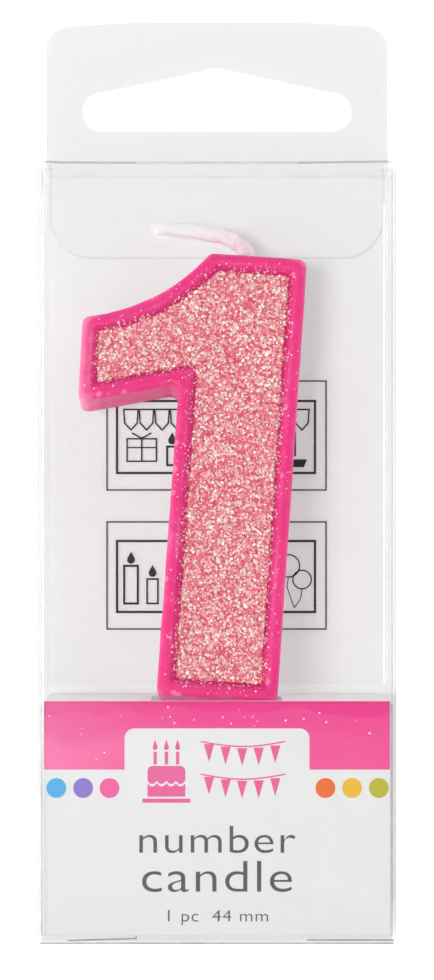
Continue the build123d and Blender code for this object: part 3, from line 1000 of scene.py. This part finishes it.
# ---- Stage -------------------------------------------------------------------------------
def stage_material():
    """Pale backdrop whose glow is painted light, zoned by what the camera sees of the box against it.

    Behind the box and the tab it is dimmer, as painted shade; all round it is bright enough to wash out
    shadows. It can't be seen from behind.
    """
    material, tree = blank_material("pale_backdrop")
    paint = add_node(tree, "ShaderNodeBsdfDiffuse", {"Color": (0.79, 0.79, 0.79, 1)})
    where = add_node(tree, "ShaderNodeSeparateXYZ", {"Vector": place(tree)}).outputs
    spread = (WALL_Y - CAMERA_PLACE.y) / (BOX_LOW.y - CAMERA_PLACE.y)
    box_top = CAMERA_PLACE.z + (BOX_HIGH.z - CAMERA_PLACE.z) * spread
    box_foot = CAMERA_PLACE.z * (1 - spread)
    by_tab = maths(tree, "GREATER_THAN", where["Z"], box_top)
    half_width = maths(tree, "MULTIPLY_ADD", by_tab, BOX_HIGH.x * (1 - spread), BOX_HIGH.x * spread)
    aside = maths(tree, "GREATER_THAN", maths(tree, "ABSOLUTE", where["X"]), half_width)
    over = maths(tree, "GREATER_THAN", where["Z"], CAD_HIGH.z)
    under = maths(tree, "LESS_THAN", where["Z"], box_foot)
    clear_of_box = maths(tree, "MAXIMUM", aside, maths(tree, "MAXIMUM", over, under))
    glow_level = maths(tree, "MULTIPLY_ADD", by_tab, GLOW_BY_TAB - GLOW_BEHIND, GLOW_BEHIND)
    glow_level = maths(tree, "MAXIMUM", glow_level, maths(tree, "MULTIPLY", clear_of_box, GLOW_AROUND))
    on_wall = clamped(tree, maths(tree, "MULTIPLY_ADD", where["Z"], 60.0, 1.65))
    glow_level = maths(tree, "MULTIPLY", glow_level, on_wall)
    glow = add_node(tree, "ShaderNodeEmission", {"Color": (1, 1, 1, 1), "Strength": glow_level})
    front = add_node(tree, "ShaderNodeAddShader", {0: paint.outputs[0], 1: glow.outputs[0]})
    clear = add_node(tree, "ShaderNodeBsdfTransparent")
    behind = add_node(tree, "ShaderNodeNewGeometry").outputs["Backfacing"]
    both = mix_shaders(tree, behind, front, clear)
    return with_surface(material, both)


def make_backdrop():
    """A wall close behind the hanging box that sweeps round into the floor."""
    half, top, floor_front = 0.6, 0.6, -0.9
    radius, steps = 0.02, 12
    profile = [(WALL_Y, top)]
    for i in range(steps + 1):
        angle = math.pi / 2 * i / steps
        y = WALL_Y - radius + radius * math.cos(angle)
        profile.append((y, FLOOR_Z + radius - radius * math.sin(angle)))
    profile.append((floor_front, FLOOR_Z))
    bm = bmesh.new()
    rows = [[bm.verts.new((x, y, z)) for y, z in profile] for x in (-half, half)]
    for i in range(len(profile) - 1):
        bm.faces.new((rows[0][i], rows[0][i + 1], rows[1][i + 1], rows[1][i]))
    mesh = bpy.data.meshes.new("backdrop")
    bm.to_mesh(mesh)
    bm.free()
    mesh.materials.append(stage_material())
    mesh.polygons.foreach_set("use_smooth", [True] * len(mesh.polygons))
    backdrop = add_object("backdrop", mesh)


def make_world():
    """White where the camera sees it; for light and reflections, dimmer on the camera's side."""
    world = bpy.data.worlds.new("studio")
    world.use_nodes = True
    tree = world.node_tree
    tree.nodes.clear()
    output = tree.nodes.new("ShaderNodeOutputWorld")
    way = add_node(tree, "ShaderNodeTexCoord").outputs["Generated"]
    axes = add_node(tree, "ShaderNodeSeparateXYZ", {"Vector": way}).outputs
    from_above = maths(tree, "MULTIPLY_ADD", axes["Z"], 0.46, 0.34)
    strength = clamped(tree, maths(tree, "MULTIPLY_ADD", axes["Y"], 0.27, from_above))
    room = add_node(tree, "ShaderNodeBackground")
    tree.links.new(strength, room.inputs["Strength"])
    white = add_node(tree, "ShaderNodeBackground", {"Strength": 1.0})
    seen = add_node(tree, "ShaderNodeLightPath").outputs["Is Camera Ray"]
    both = mix_shaders(tree, seen, room, white)
    tree.links.new(both.outputs[0], output.inputs["Surface"])
    bpy.context.scene.world = world


def make_light(name, place_at, target, size, power):
    """A soft square lamp aimed at a point."""
    data = bpy.data.lights.new(name, "AREA")
    data.size = size
    data.energy = power
    lamp = add_object(name, data)
    lamp.location = place_at
    lamp.rotation_mode = "QUATERNION"
    lamp.rotation_quaternion = (Vector(target) - Vector(place_at)).to_track_quat("-Z", "Y")


def make_lights():
    """A key lamp in front, low and to the left; a fill high on the right; one from the left."""
    centre = (0.0, 0.0, 0.042)
    make_light("key", (-0.235, -0.78, 0.015), centre, 0.24, 3.85)
    make_light("fill", (0.55, -0.35, 0.50), centre, 0.5, 1.3)
    make_light("side", (-0.60, -0.16, 0.12), centre, 0.25, 0.9)


def make_camera():
    """Level, square to the front panel, at the height of the middle of the picture."""
    data = bpy.data.cameras.new("camera")
    data.lens = FOCAL_LENGTH
    data.sensor_width = 36.0
    data.clip_start = 0.01
    data.clip_end = 10.0
    camera = add_object("camera", data)
    camera.location = CAMERA_PLACE
    camera.rotation_euler = (math.radians(90.0), 0.0, 0.0)
    bpy.context.scene.camera = camera


# ---- Everything --------------------------------------------------------------------------
finish_nodes()
make_creases()
make_fold_lines()
wax_figure = make_wax_figure()
glitter_bed = make_glitter_bed()
make_flakes(wax_figure, glitter_bed)
make_wick()
make_stray_specks()
make_pink_band()
make_dots()
make_emblem()
make_card_words()
make_back_print()
make_backdrop()
make_world()
make_lights()
make_camera()

scene = bpy.context.scene
scene.view_settings.view_transform = "Standard"
scene.cycles.transparent_max_bounces = 32
scene.cycles.caustics_reflective = False
